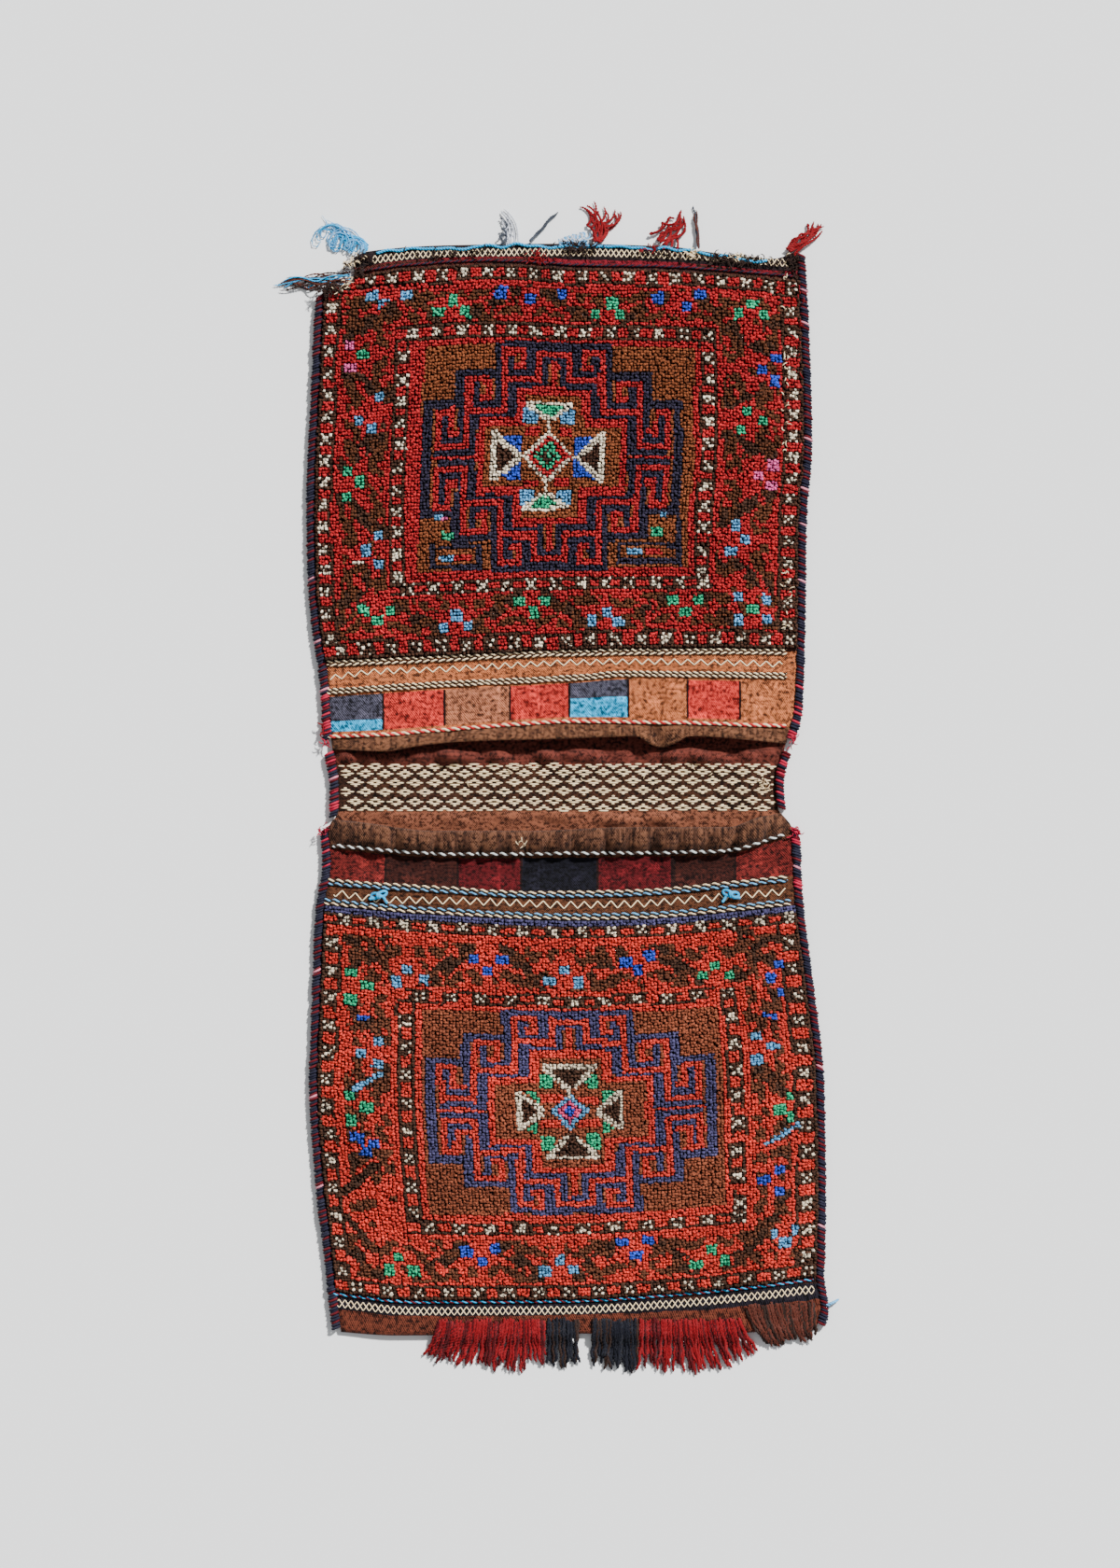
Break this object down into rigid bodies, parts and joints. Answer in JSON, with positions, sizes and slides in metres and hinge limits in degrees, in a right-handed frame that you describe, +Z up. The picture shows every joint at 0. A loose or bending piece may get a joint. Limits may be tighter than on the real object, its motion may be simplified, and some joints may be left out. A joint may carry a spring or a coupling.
{
  "type": "kilim saddle bag",
  "caption": "Double saddle bag of knotted and flat-woven wool, two pouches joined by a bridge, lying flat and empty.",
  "frame": {"origin": "centre of the bag's outline on the ground that its back lies on", "axes": "+X across the bag, +Y along it towards the upper pouch, +Z up out of the fronts"},
  "size_m": [0.612, 1.2603, 0.0228],
  "materials": {
    "pile_wool": "knotted wool pile in red and brown with a flat-woven ground",
    "binding_wool": "overcast dark red and navy wool yarn",
    "ivory_brown_cord": "twined ivory and dark brown wool yarn",
    "red_navy_cord": "twined red and navy wool yarn",
    "red_ivory_cord": "twined red and ivory wool yarn",
    "ivory_cord": "twined ivory wool yarn",
    "ivory_blue_cord": "twined ivory and light blue wool yarn",
    "cyan_cord": "twined cyan, red and ivory wool yarn",
    "light_blue_yarn": "loose light blue wool yarn",
    "red_yarn": "looped red wool yarn",
    "navy_yarn": "looped navy wool yarn",
    "brown_yarn": "looped brown wool yarn",
    "grey_yarn": "frayed grey and slate wool yarn"
  },
  "bodies": {
    "root": {"woven_body": "pile_wool", "upper_left_binding": "binding_wool", "upper_right_binding": "binding_wool", "bridge_left_binding": "binding_wool", "bridge_right_binding": "binding_wool", "lower_left_binding": "binding_wool", "lower_right_binding": "binding_wool", "upper_hem_cord": "red_navy_cord", "upper_outer_band_cord": "ivory_brown_cord", "upper_inner_band_cord": "ivory_brown_cord", "upper_mouth_cord": "red_ivory_cord", "lower_mouth_cord": "ivory_cord", "lower_inner_band_cord": "ivory_blue_cord", "lower_outer_band_cord": "ivory_blue_cord", "lower_hem_cord": "cyan_cord", "top_edge_yarn": "light_blue_yarn", "fringe_red_left": "red_yarn", "fringe_navy_left": "navy_yarn", "fringe_navy_right": "navy_yarn", "fringe_red_right": "red_yarn", "fringe_brown_right": "brown_yarn", "blue_thread_tangle": "light_blue_yarn", "corner_knot": "brown_yarn", "grey_tuft": "grey_yarn", "slate_strand": "grey_yarn", "pale_lump": "grey_yarn", "red_tuft_middle": "red_yarn", "red_tuft_flat": "red_yarn", "brown_strand": "brown_yarn", "red_tuft_right": "red_yarn", "corner_yarn_end": "light_blue_yarn", "left_bow": "light_blue_yarn", "right_bow": "light_blue_yarn"}
  },
  "joints": []
}
